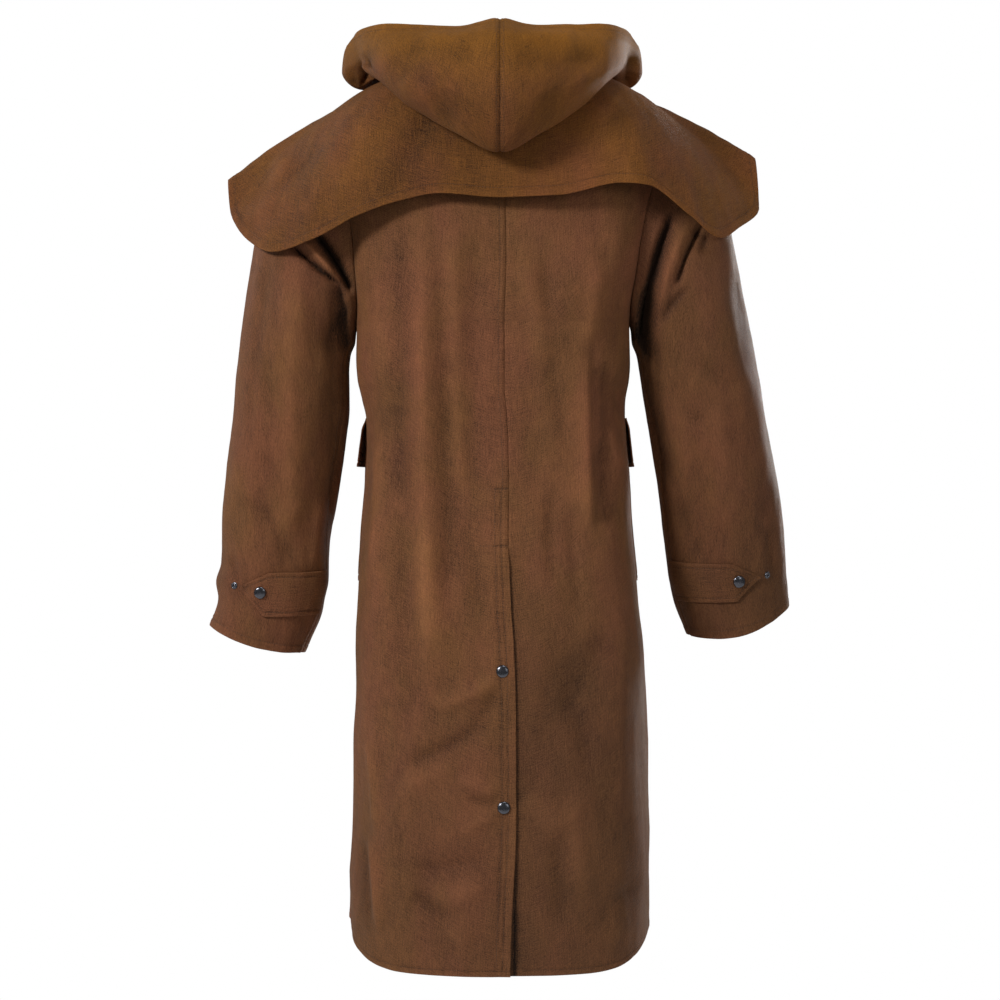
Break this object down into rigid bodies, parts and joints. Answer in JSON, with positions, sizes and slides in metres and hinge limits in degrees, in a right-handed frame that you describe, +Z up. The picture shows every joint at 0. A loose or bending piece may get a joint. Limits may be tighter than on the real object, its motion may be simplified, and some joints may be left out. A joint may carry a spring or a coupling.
{
  "type": "duster coat",
  "caption": "Long hooded duster coat with a shoulder cape, lapped back vent, snapped front, flap pockets and tabbed cuffs, filled out as worn.",
  "frame": {"origin": "middle of the neck opening, level with the neck ends of the shoulder seams, where the coat hangs on its wearer", "axes": "+Z up towards the wearer's head, the front faces -Y, and the wearer's left is +X"},
  "size_m": [0.8229, 0.4055, 1.2816],
  "materials": {
    "body_canvas": "matte waxed cotton canvas, reddish brown",
    "cape_canvas": "matte waxed cotton canvas, warmer brown",
    "snap_metal": "dark gunmetal plating"
  },
  "bodies": {
    "root": {"back_left": "body_canvas", "back_right": "body_canvas", "cape_back": "cape_canvas", "cape_front_left": "cape_canvas", "cape_front_right": "cape_canvas", "cuff_snap_left": "snap_metal", "cuff_snap_right": "snap_metal", "cuff_stud_left": "snap_metal", "cuff_stud_right": "snap_metal", "cuff_tab_left": "body_canvas", "cuff_tab_right": "body_canvas", "front_left": "body_canvas", "front_right": "body_canvas", "front_snap_1": "snap_metal", "front_snap_2": "snap_metal", "front_snap_3": "snap_metal", "front_snap_4": "snap_metal", "front_snap_5": "snap_metal", "front_snap_6": "snap_metal", "hood_left": "cape_canvas", "hood_right": "cape_canvas", "pocket_flap_left": "body_canvas", "pocket_flap_right": "body_canvas", "pocket_left": "body_canvas", "pocket_right": "body_canvas", "sleeve_left_top": "body_canvas", "sleeve_left_under": "body_canvas", "sleeve_right_top": "body_canvas", "sleeve_right_under": "body_canvas", "vent_snap_1": "snap_metal", "vent_snap_2": "snap_metal", "vent_underlap": "body_canvas"}
  },
  "joints": []
}
